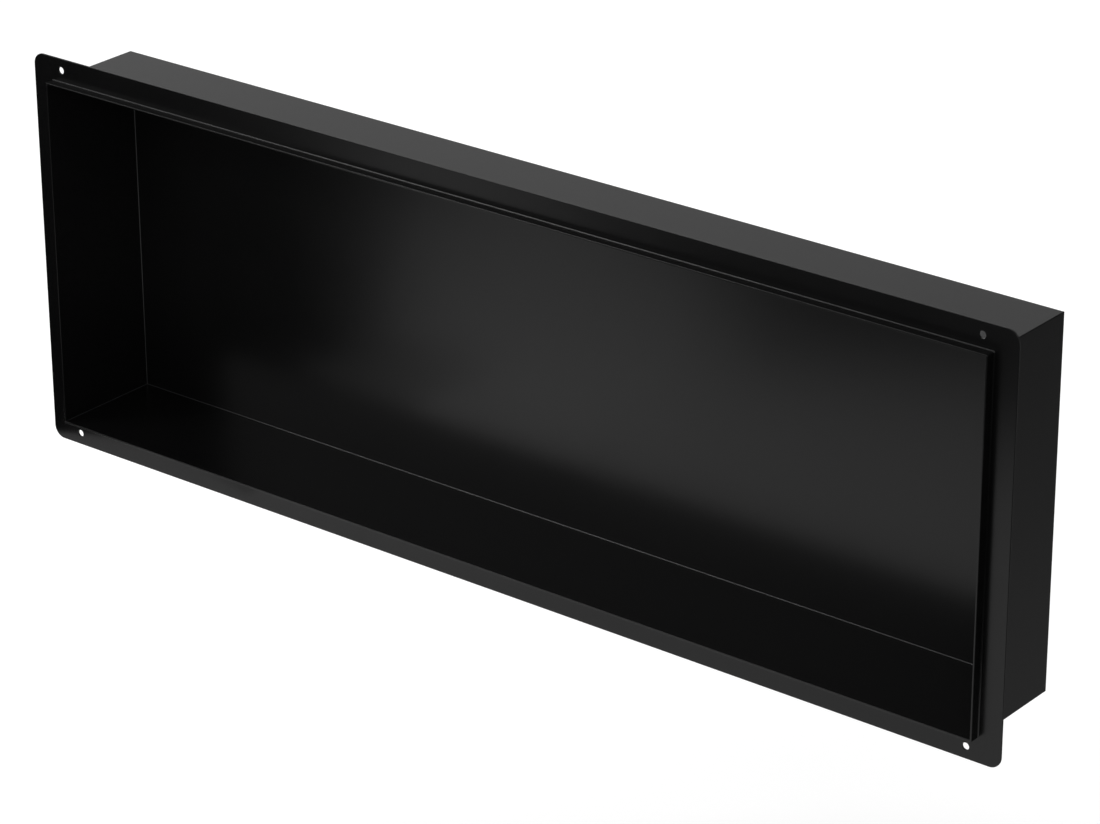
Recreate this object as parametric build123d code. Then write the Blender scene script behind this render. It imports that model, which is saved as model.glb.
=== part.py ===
"""A shower niche: a black coated steel tray that is set into a wall and finished round with tiles.

The tray is one folded sheet with welded corners, open to the front. A flat frame of the same sheet
slides over it and is welded on a little behind its front edge. The frame lies on the wall and takes
four screws, and the rim of the tray that stands in front of it is the edge that the tiles meet.

The origin is at the centre of the four screw holes, on the wall: X runs to the right, Y into the wall
and Z up.
"""
import os

from build123d import *

# Driving dimensions, in millimetres
TRAY_WIDTH = 900.0  # outside, left to right
TRAY_HEIGHT = 300.0  # outside, bottom to top
TRAY_DEPTH = 100.0  # front edge of the lip to the outside of the back
TRAY_SHEET = 1.5
FOLD_RADIUS = 0.8  # inside of the fold between the back and a wall
CORNER_RADIUS = 0.8  # outside of a corner where two walls are welded and dressed; sharp inside
LIP_DEPTH = 10.0  # wall to the front edge of the lip, as deep as a tile and its adhesive
FLANGE_REACH = 20.0  # how far the flange stands out from the tray
FLANGE_SHEET = 1.5
FLANGE_CORNER_RADIUS = 10.0
FLANGE_CLEARANCE = 0.1  # between the tray and the frame that slides over it
SCREW_HOLE_DIAMETER = 6.0
SCREW_EDGE_DISTANCE = 10.0  # hole centre to the top or bottom edge of the flange
SCREW_SIDE_DISTANCE = 30.0  # hole centre to the left or right edge of the flange
WELD_LEG = 0.8  # size of the seam along the tray and along the flange
WELD_HOLLOW_RADIUS = 1.2  # the seam's face is slightly hollow
EDGE_BREAK = 0.4  # rounding of a cut edge, in a sheet thick enough for it

# What follows from them
WALL_Y = 0.0  # the wall that the flange lies on
LIP_FRONT_Y = WALL_Y - LIP_DEPTH
FLANGE_FRONT_Y = WALL_Y - FLANGE_SHEET
FLANGE_WIDTH = TRAY_WIDTH + 2 * FLANGE_REACH
FLANGE_HEIGHT = TRAY_HEIGHT + 2 * FLANGE_REACH
SCREW_SPACING_X = FLANGE_WIDTH - 2 * SCREW_SIDE_DISTANCE
SCREW_SPACING_Z = FLANGE_HEIGHT - 2 * SCREW_EDGE_DISTANCE


def upright(y):
    """A sketching plane across the niche at y: drawn in X and Z, and seen from the back."""
    return Plane(origin=(0, y, 0), x_dir=(-1, 0, 0), z_dir=(0, 1, 0))


def edge_break(sheet):
    """The rounding of a cut edge, which takes at most a third of the sheet from each side."""
    return min(EDGE_BREAK, sheet / 3)


def folded_block(width, height, depth, radius):
    """A block behind the front edge of the lip, with four rounded folds at its back that meet in mitres."""
    level = Plane(origin=(0, LIP_FRONT_Y, 0), x_dir=(1, 0, 0), z_dir=(0, 0, 1))
    lengthwise = Plane(origin=(0, LIP_FRONT_Y, 0), x_dir=(0, 0, 1), z_dir=(-1, 0, 0))
    blocks = []
    for plane, span, length in ((level, width, height), (lengthwise, height, width)):
        section = Rectangle(span, depth, align=(Align.CENTER, Align.MIN))
        section = fillet(section.vertices().group_by(Axis.Y)[-1], radius)
        blocks.append(extrude(plane * section, length / 2, both=True))
    return blocks[0] & blocks[1]


def niche_box():
    """The tray: back and four walls from one sheet, with its cut edge at the front lightly rounded."""
    outline = RectangleRounded(TRAY_WIDTH, TRAY_HEIGHT, CORNER_RADIUS)
    corners = extrude(upright(LIP_FRONT_Y) * outline, TRAY_DEPTH)
    outside = folded_block(TRAY_WIDTH, TRAY_HEIGHT, TRAY_DEPTH, FOLD_RADIUS + TRAY_SHEET)
    inside = folded_block(
        TRAY_WIDTH - 2 * TRAY_SHEET,
        TRAY_HEIGHT - 2 * TRAY_SHEET,
        TRAY_DEPTH - TRAY_SHEET,
        FOLD_RADIUS,
    )
    tray = (outside & corners) - inside
    rim = tray.faces().sort_by(Axis.Y)[0]
    return fillet(rim.edges(), edge_break(TRAY_SHEET))


def mounting_flange():
    """The frame: a ring of sheet with round outer corners, a window for the tray and four screw holes."""
    plate = RectangleRounded(FLANGE_WIDTH, FLANGE_HEIGHT, FLANGE_CORNER_RADIUS)
    window = RectangleRounded(
        TRAY_WIDTH + 2 * FLANGE_CLEARANCE,
        TRAY_HEIGHT + 2 * FLANGE_CLEARANCE,
        CORNER_RADIUS + FLANGE_CLEARANCE,
    )
    blank = extrude(upright(FLANGE_FRONT_Y) * plate, FLANGE_SHEET)
    cut_edges = blank.edges().group_by(Axis.Y)
    blank = fillet(cut_edges[0] + cut_edges[-1], edge_break(FLANGE_SHEET))
    screw_holes = GridLocations(SCREW_SPACING_X, SCREW_SPACING_Z, 2, 2) * Circle(SCREW_HOLE_DIAMETER / 2)
    openings = window + screw_holes
    return blank - extrude(upright(FLANGE_FRONT_Y) * openings, FLANGE_SHEET)


def seam_weld():
    """The seam that joins the two: a slightly hollow fillet in the corner between lip and flange."""
    outline = upright(FLANGE_FRONT_Y) * RectangleRounded(TRAY_WIDTH, TRAY_HEIGHT, CORNER_RADIUS)
    across = Plane(origin=(0, FLANGE_FRONT_Y, TRAY_HEIGHT / 2), x_dir=(0, -1, 0), z_dir=(-1, 0, 0))
    corner = (0, 0)
    on_tray = (WELD_LEG, 0)
    on_flange = (0, WELD_LEG)
    legs = Polyline(on_flange, corner, on_tray)
    face = RadiusArc(on_tray, on_flange, WELD_HOLLOW_RADIUS)
    section = across * make_face([*legs.edges(), face])
    return sweep(section, outline.wire())


os.makedirs("parts", exist_ok=True)
for piece in (niche_box, mounting_flange, seam_weld):
    solid = piece()
    export_step(solid, f"parts/{piece.__name__}.step")
    print(piece.__name__, round(solid.volume), "mm3")
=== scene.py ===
# %% [markdown]
# # A black shower niche
#
# The object is a shallow steel tray that is set into a shower wall. A flat flange runs round it a little
# behind its front edge and is screwed to the wall, and the tiles are then laid up to the lip that stands
# in front of the flange. Tray, flange and seam are coated together in a smooth satin black.
#
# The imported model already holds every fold, lip, seam and screw hole at its real size. So nothing has to be
# modelled again here: this lesson gives the sheet metal its coat, and then it builds the light that makes
# a black object readable.

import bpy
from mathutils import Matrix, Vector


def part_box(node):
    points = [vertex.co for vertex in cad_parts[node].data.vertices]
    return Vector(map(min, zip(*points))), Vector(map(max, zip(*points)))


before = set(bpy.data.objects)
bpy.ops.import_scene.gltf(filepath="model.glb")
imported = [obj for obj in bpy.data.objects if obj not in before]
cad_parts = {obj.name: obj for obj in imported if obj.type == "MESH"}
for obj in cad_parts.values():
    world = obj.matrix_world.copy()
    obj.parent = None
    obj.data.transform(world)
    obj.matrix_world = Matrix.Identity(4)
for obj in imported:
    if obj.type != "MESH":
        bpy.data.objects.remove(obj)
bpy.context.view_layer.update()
print("nodes:", sorted(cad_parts))

# %% [markdown]
# ## The camera
#
# The niche is seen from the front right and from above, with a long lens, so that its long edges hardly
# converge. A camera can be placed by hand and nudged, but here its angles and its distance were worked
# out from the straight edges and the round screw holes. It is set down in that way too: a point that it
# aims at, the direction that it looks in, and how far it stands back.

# %% Set up the camera
from math import radians

import bpy
from mathutils import Euler, Matrix, Vector

CAMERA_AIM = Vector((0.0611, -0.0015, -0.0024))
CAMERA_DISTANCE = 3.1544
CAMERA_TURN = radians(38.596)
CAMERA_LOOK_DOWN = radians(24.139)
CAMERA_ROLL = radians(-0.261)
CAMERA_LENS_MM = 137.4
CAMERA_SENSOR_MM = 36

scene = bpy.context.scene
turned = Euler((radians(90) - CAMERA_LOOK_DOWN, 0, CAMERA_TURN)).to_matrix()
turned = turned @ Matrix.Rotation(CAMERA_ROLL, 3, "Z")
backwards = turned @ Vector((0, 0, 1))
camera_data = bpy.data.cameras.new("camera")
camera_data.sensor_width = CAMERA_SENSOR_MM
camera_data.lens = CAMERA_LENS_MM
camera = bpy.data.objects.new("camera", camera_data)
camera.matrix_world = Matrix.Translation(CAMERA_AIM + backwards * CAMERA_DISTANCE) @ turned.to_4x4()
scene.collection.objects.link(camera)
scene.camera = camera
scene.view_settings.view_transform = "Standard"
print("camera at", [round(value, 3) for value in camera.matrix_world.translation])

# %% [markdown]
# ## Shader maths as arithmetic
#
# Materials are trees of nodes. Adding nodes by hand is slow to write and hard to read, so one small class
# stands for a node's output. Sums on it add Math nodes, and its method node adds any other node: first the
# node's settings, then the values or links of its sockets.

# %% A class that wraps a socket


class Signal:
    """The output of a node. Arithmetic on it adds Math nodes, and node() adds any other node."""

    def __init__(self, tree, socket=None):
        self.tree = tree
        self.socket = socket

    def node(self, kind, settings=None, inputs=None, output=0):
        """Adds a node and gives the signal of one of its outputs, if it has any."""
        made = self.tree.nodes.new(kind)
        for name, value in (settings or {}).items():
            setattr(made, name, value)
        for name, value in (inputs or {}).items():
            if isinstance(value, Signal):
                self.tree.links.new(value.socket, made.inputs[name])
            else:
                made.inputs[name].default_value = value
        return Signal(self.tree, made.outputs[output] if made.outputs else None)

    def math(self, operation, left, right):
        """Adds a Math node for two values, each a signal or a number."""
        return self.node("ShaderNodeMath", {"operation": operation}, {0: left, 1: right})

    def __add__(self, other):
        return self.math("ADD", self, other)

    def __radd__(self, other):
        return self.math("ADD", other, self)

    def __sub__(self, other):
        return self.math("SUBTRACT", self, other)

    def __rsub__(self, other):
        return self.math("SUBTRACT", other, self)

    def __mul__(self, other):
        return self.math("MULTIPLY", self, other)

    def __rmul__(self, other):
        return self.math("MULTIPLY", other, self)


def new_material(name):
    """An empty material, and the signal that its nodes start from."""
    material = bpy.data.materials.new(name)
    material.use_nodes = True
    material.node_tree.nodes.clear()
    return material, Signal(material.node_tree)


print("made the class", Signal.__name__)

# %% [markdown]
# ## A painted highlight along the folds
#
# The finish is powder that is drawn to the steel by its charge and then baked. The rounded inside folds catch
# the light as thin pale lines, and here these lines are painted into the colour as a lighter grey: a painted
# highlight. An artist could paint such lines by hand. Here the folds are straight and their places are known,
# so a few sums on the coordinates find them: a point lies in a fold when it is close to two walls of the tray
# at once.

# %% Find the inside folds
from itertools import combinations

SHEET_THICKNESS = 0.0015
FOLD_RADIUS = 0.0008
OUTSIDE_MARGIN = 0.0002

tray_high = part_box("niche_box")[1]
inside_walls = {axis: high - SHEET_THICKNESS for axis, high in zip("XYZ", tray_high)}


def rise(start, value, low, high):
    """Nought up to low, one from high on, and a smooth rise between them."""
    return start.node(
        "ShaderNodeMapRange",
        {"interpolation_type": "SMOOTHSTEP"},
        {"Value": value, "From Min": low, "From Max": high},
    )


def fold_highlight_mask(start, place):
    """One along the folds inside the tray, where the highlight is painted, and nought elsewhere."""
    close = []
    inside = 1
    for axis, wall in inside_walls.items():
        distance = start.node("ShaderNodeSeparateXYZ", inputs={"Vector": place}, output=axis)
        distance = start.math("ABSOLUTE", distance, 0)
        close.append(rise(start, distance, wall - FOLD_RADIUS, wall))
        inside = inside * start.math("LESS_THAN", distance, wall + OUTSIDE_MARGIN)
    folds = 0
    for first, second in combinations(close, 2):
        folds = start.math("MAXIMUM", folds, start.math("MINIMUM", first, second))
    return folds * inside


print("inside of the tray at", {axis: round(wall, 4) for axis, wall in inside_walls.items()})

# %% [markdown]
# ## Colour and gloss
#
# The coat is very dark and mirrors its surroundings softly, and both drift a little over a hand's width. One
# black with one roughness would look like plastic film. A painted texture could vary them, but noise on the
# object's own coordinates needs no unwrapping and shows no joins. So slow clouds mix two blacks and shift the
# gloss, a fine grain shifts the gloss a little more, and the folds get a painted highlight in a lighter grey.

# %% Vary the colour and the gloss
DEEP_BLACK = (0.0022, 0.0022, 0.0023, 1)
WORN_BLACK = (0.0028, 0.0028, 0.0028, 1)
# A lighter grey painted along the inside folds: a painted highlight where the rounded folds catch the light
FOLD_HIGHLIGHT_GREY = (0.024, 0.024, 0.025, 1)
COAT_ROUGHNESS = 0.25
GLOSS_DRIFT = 0.05
GLOSS_GRAIN = 0.03
CLOUD_SCALE = 14
GRAIN_SCALE = 1500
NOISE_MIDDLE = 0.5

# A Mix node has sockets for each kind of value, and these are the ones for colours
FIRST_COLOUR = 6
SECOND_COLOUR = 7
MIXED_COLOUR = 2


def noise(start, place, scale, detail):
    """Noise from nought to one, with about as many swells to the metre as its scale."""
    return start.node("ShaderNodeTexNoise", inputs={"Vector": place, "Scale": scale, "Detail": detail})


def mixed(start, amount, first, second):
    """The first colour where the amount is nought, and the second where it is one."""
    return start.node(
        "ShaderNodeMix",
        {"data_type": "RGBA"},
        {"Factor": amount, FIRST_COLOUR: first, SECOND_COLOUR: second},
        output=MIXED_COLOUR,
    )


def colour_and_gloss(start, place):
    """The colour and the roughness of the coat."""
    clouds = noise(start, place, CLOUD_SCALE, detail=3)
    grain = noise(start, place, GRAIN_SCALE, detail=2)
    black = mixed(start, clouds, DEEP_BLACK, WORN_BLACK)
    # Painted highlight: the folds get the lighter grey in their colour
    colour = mixed(start, fold_highlight_mask(start, place), black, FOLD_HIGHLIGHT_GREY)
    drift = (clouds - NOISE_MIDDLE) * GLOSS_DRIFT
    return colour, COAT_ROUGHNESS + drift + (grain - NOISE_MIDDLE) * GLOSS_GRAIN


print("black from", DEEP_BLACK[0], "to", WORN_BLACK[0], "and", FOLD_HIGHLIGHT_GREY[0], "in the folds")

# %% [markdown]
# ## The orange peel
#
# Melted powder doesn't level out fully, so from close by the coat has a faint orange peel of about two
# millimetres, over slower swells. On the sheet both are about a hundredth of a millimetre high, far too
# shallow to model, so two Bump nodes tilt the surface instead. On the seam, whose bead is uneven, the
# swells are about ten times as high.

# %% Make the coat
COAT_IOR = 1.31
PEEL_SCALE = 450
PEEL_HEIGHT = 0.000012
SWELL_SCALE = 110
SHEET_SWELL_HEIGHT = 0.00001
SEAM_SWELL_HEIGHT = 0.00012


def bump(start, height, distance, under=None):
    """A bump whose height, from nought to one, stands for a distance in metres, over the bump under it."""
    inputs = {"Strength": 1, "Distance": distance, "Height": height}
    if under:
        inputs["Normal"] = under
    return start.node("ShaderNodeBump", inputs=inputs)


def coat(name, swell_height):
    """The coat, with the fine orange peel over swells of a height in metres."""
    material, start = new_material(name)
    place = start.node("ShaderNodeTexCoord", output="Object")
    colour, gloss = colour_and_gloss(start, place)
    swells = bump(start, noise(start, place, SWELL_SCALE, detail=1), swell_height)
    peel = bump(start, noise(start, place, PEEL_SCALE, detail=2), PEEL_HEIGHT, under=swells)
    surface = start.node(
        "ShaderNodeBsdfPrincipled",
        inputs={"Base Color": colour, "Roughness": gloss, "IOR": COAT_IOR, "Normal": peel},
    )
    start.node("ShaderNodeOutputMaterial", inputs={"Surface": surface})
    return material


coat_on_sheet = coat("coat_on_sheet", SHEET_SWELL_HEIGHT)
coat_on_seam = coat("coat_on_seam", SEAM_SWELL_HEIGHT)
finishes = {"niche_box": coat_on_sheet, "mounting_flange": coat_on_sheet, "seam_weld": coat_on_seam}
for node, finish in finishes.items():
    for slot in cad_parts[node].material_slots:
        slot.material = finish
    print(node, "is coated with", finish.name)

# %% [markdown]
# ## The floor
#
# The niche hangs where its screws would hold it, well above a pale floor. A white background could be had
# with more lamps, but they would wash out the black coat too. So the floor is plain grey paper, with a glow
# of its own where the camera or a mirror looks at it, which takes it to white. Away from the niche, where
# the lamps fade, the camera sees a little more glow, and close by the floor keeps a faint shadow.

# %% Make the floor
FLOOR_HEIGHT = -0.62
FLOOR_SIZE = 40
FLOOR_GREY = (0.55, 0.55, 0.55, 1)
FLOOR_GLOW = 0.48
FLOOR_LIFT = 0.14
LIFT_REACH = 1.6


def seen(start):
    """One where a ray from the camera, a mirror or a glass looks, and nought where a ray brings light."""
    camera_ray = start.node("ShaderNodeLightPath", output="Is Camera Ray")
    glossy_ray = start.node("ShaderNodeLightPath", output="Is Glossy Ray")
    glass_ray = start.node("ShaderNodeLightPath", output="Is Transmission Ray")
    either = start.math("MAXIMUM", camera_ray, glossy_ray)
    return start.math("MAXIMUM", either, glass_ray)


def lift(start):
    """The extra glow that the camera sees, from nought under the niche to its full level at some distance."""
    camera_ray = start.node("ShaderNodeLightPath", output="Is Camera Ray")
    place = start.node("ShaderNodeTexCoord", output="Object")
    away = start.node("ShaderNodeVectorMath", {"operation": "LENGTH"}, {0: place}, output="Value")
    return camera_ray * rise(start, away, 0, LIFT_REACH) * FLOOR_LIFT


bpy.ops.object.select_all(action="DESELECT")
bpy.ops.mesh.primitive_plane_add(size=FLOOR_SIZE, location=(0, 0, FLOOR_HEIGHT))
floor = bpy.context.active_object
floor.name = "floor"
paper, start = new_material("floor_paper")
matt = start.node("ShaderNodeBsdfDiffuse", inputs={"Color": FLOOR_GREY})
glow = start.node("ShaderNodeEmission", inputs={"Strength": seen(start) * FLOOR_GLOW + lift(start)})
both = start.node("ShaderNodeAddShader", inputs={0: matt, 1: glow})
start.node("ShaderNodeOutputMaterial", inputs={"Surface": both})
floor.data.materials.append(paper)
print("floor at", FLOOR_HEIGHT, "m")

# %% [markdown]
# ## The surroundings
#
# A wall or a painted backdrop could close the scene, but each would show in the coat. A plain white sky goes
# on behind the floor without an edge. It is white where it is looked at or mirrored, and lights the niche
# at a lower level, so that the lamps still have something to add.

# %% Make the world
SKY_LEVEL = 0.72
SKY_COLOUR = (1, 1, 1, 1)

world = bpy.data.worlds.new("studio")
world.use_nodes = True
world.node_tree.nodes.clear()
scene.world = world
start = Signal(world.node_tree)
sky_strength = SKY_LEVEL + seen(start) * (1 - SKY_LEVEL)
sky = start.node("ShaderNodeBackground", inputs={"Color": SKY_COLOUR, "Strength": sky_strength})
start.node("ShaderNodeOutputWorld", inputs={"Surface": sky})
print("sky lights at", SKY_LEVEL)

# %% [markdown]
# ## Lamps
#
# A large lamp close by is the usual start, but flat black faces would mirror it as a pale patch, so no lamp
# stands where one of them looks. The two small bright lamps are for the edges: the rounded folds, the lip and
# the seam turn through every angle, and each draws a lamp as a thin line. A wide soft box at the front left
# is what the floor of the niche sees by way of its back.

# %% Hang the lamps
from math import pi

LAMP_TARGET = Vector((0, 0.03, 0))
LAMP_DISTANCE = 5.2


def soft_box(name, direction, size, brightness):
    """A square lamp that looks at the niche; at a brightness of 1 it would itself look paper white."""
    lamp = bpy.data.lights.new(name, "AREA")
    lamp.size = size
    lamp.energy = brightness * pi * size * size
    box = bpy.data.objects.new(name, lamp)
    towards = Vector(direction).normalized()
    box.location = LAMP_TARGET + towards * LAMP_DISTANCE
    box.rotation_euler = (-towards).to_track_quat("-Z", "Y").to_euler()
    scene.collection.objects.link(box)
    print(name, "at", [round(value, 2) for value in box.location], "with", round(lamp.energy, 1), "W")


soft_box("edge_lamp_left", direction=(-0.57, -0.41, 0.71), size=1.0, brightness=20)
soft_box("edge_lamp_right", direction=(0.57, -0.67, 0.47), size=1.2, brightness=8)
soft_box("front_box", direction=(-0.57, -0.71, 0.41), size=2.0, brightness=1.7)

# %% [markdown]
# ## Pools of light on the floor
#
# Seen from above, flange and back mirror the floor in front of the niche. A brighter floor all over would
# lift them evenly. The back should be brightest in its middle, with a fainter light patch further left,
# so two weak lamps hang low in front, shine straight down and leave two pools of light there.

# %% Hang two lamps over the floor


def floor_lamp(name, place, size, watts):
    """A square lamp low over the floor that shines straight down and leaves a pool of light there."""
    lamp = bpy.data.lights.new(name, "AREA")
    lamp.size = size
    lamp.energy = watts
    box = bpy.data.objects.new(name, lamp)
    box.location = place
    scene.collection.objects.link(box)
    print(name, "at", place, "with", watts, "W")


floor_lamp("wide_pool", place=(-0.15, -0.70, -0.22), size=0.6, watts=0.6)
floor_lamp("small_pool", place=(-0.84, -0.94, -0.42), size=0.15, watts=0.55)

# %% [markdown]
# ## Cards
#
# A black gloss surface shows little but what it mirrors, and in an all-white room the niche would look grey
# and flat. Photographers hang dark cards around such things, and so does this scene. A card could be paper
# that the lamps light, but then each lamp would change it. Here it is a flat face that glows at a set grey
# level at each corner. Only mirrors see it, so it throws no shadow and stays out of the picture.

# %% A helper for cards


def card(name, corners, levels=None):
    """A flat card that only mirrors see, with a level at each corner: 0 is black and 1 is paper white."""
    levels = levels or [0] * len(corners)
    bpy.ops.object.select_all(action="DESELECT")
    bpy.ops.mesh.primitive_circle_add(vertices=len(corners), fill_type="NGON")
    flat = bpy.context.active_object
    flat.name = name
    shade = flat.data.color_attributes.new("shade", "FLOAT_COLOR", "POINT")
    for index, corner, level in zip(flat.data.polygons[0].vertices, corners, levels):
        flat.data.vertices[index].co = corner
        shade.data[index].color = (level, level, level, 1)
    tint, start = new_material(name + "_tint")
    level = start.node("ShaderNodeAttribute", {"attribute_name": "shade"}, output="Fac")
    shine = start.node("ShaderNodeEmission", inputs={"Strength": level})
    start.node("ShaderNodeOutputMaterial", inputs={"Surface": shine})
    flat.data.materials.append(tint)
    flat.visible_camera = False
    flat.visible_diffuse = False
    flat.visible_transmission = False
    flat.visible_shadow = False
    print(name, "has", len(corners), "corners with levels", levels)


def at_height(height, outline):
    """The corners of an outline in X and Y that lies level at a height."""
    return [(x, y, height) for x, y in outline]


print("made the helper", card.__name__)

# %% [markdown]
# ## Cards in front
#
# Four of these lie level just under the niche. The left one is the dark left end of flange and back, and
# a small card at its tip lets that dark fade out along the lower flange. The front one is the dark upper
# right of the back, and between the two the white floor shows as the bright middle. The right one is what
# the side of the lip sees by way of the flange, and it makes the black band beside the lip. The last one
# stands higher up, and is what the top of the lip sees in that way. It is brighter to the left.

# %% Place the cards in front
CARD_LOW = -0.175
LEFT_OUTLINE = [
    (-0.40, -0.058),
    (-1.60, 0.585),
    (-2.6, -1.3),
    (-1.45, -1.65),
    (-0.66, -0.60),
    (-0.60, -0.41),
    (-0.40, -0.165),
]
TIP_OUTLINE = [(-0.40, -0.165), (-0.27, -0.165), (-0.27, -0.02), (-0.40, -0.058)]
TIP_LEVELS = (0.12, 0.88, 0.95, 0.4)
FRONT_OUTLINE = [(-0.105, -0.31), (-1.17, -1.33), (0.9, -1.9), (1.5, -1.31)]
FRONT_LEVELS = (0.04, 0.02, 0.04, 0.04)
RIGHT_OUTLINE = [(0.56, -0.02), (0.30, -0.55), (1.5, -1.31), (1.7, 0.10)]
LIP_CORNERS = [(-0.85, -0.3, 0.2), (0.4, -0.3, 0.2), (0.4, -0.3, 0.46), (-0.85, -0.3, 0.46)]
LIP_LEVELS = (1.4, 0.8, 0.8, 1.4)

card("left_card", at_height(CARD_LOW, LEFT_OUTLINE))
card("tip_card", at_height(CARD_LOW, TIP_OUTLINE), TIP_LEVELS)
card("front_card", at_height(CARD_LOW, FRONT_OUTLINE), FRONT_LEVELS)
card("right_card", at_height(CARD_LOW, RIGHT_OUTLINE))
card("lip_card", LIP_CORNERS, LIP_LEVELS)

# %% [markdown]
# ## Cards behind and above
#
# The outside of the tray looks the other way. Its right wall mirrors a low card behind it, which is a dark
# grey close by and black further off. Its top mirrors a pale card high up behind it. The edge between them is
# rounded and sees all that lies between, so a high black card and one that stands below it keep it dark.

# %% Place the cards behind and above
CARD_HIGH = 0.9
BACK_OUTLINE = [(0.36, 0.001), (0.60, 0.001), (2.40, 0.75), (0.75, 2.00)]
BACK_LEVELS = (0.30, 0.30, 0, 0)
TOP_OUTLINE = [(-4, 0.5), (0.3, 0.5), (0.3, 4), (-4, 4)]
TOP_LEVELS = (0.72, 0.53, 0.53, 0.72)
EDGE_OUTLINE = [(0.4, 0.3), (1.9, 0.3), (1.9, 1.5), (0.4, 1.5)]
STANDING_CORNERS = [(0.9, 1.5, 0), (1.9, 0.6, 0), (1.9, 0.6, CARD_HIGH), (0.9, 1.5, CARD_HIGH)]

card("back_card", at_height(CARD_LOW, BACK_OUTLINE), BACK_LEVELS)
card("top_card", at_height(CARD_HIGH, TOP_OUTLINE), TOP_LEVELS)
card("edge_card", at_height(CARD_HIGH, EDGE_OUTLINE))
card("standing_card", STANDING_CORNERS)
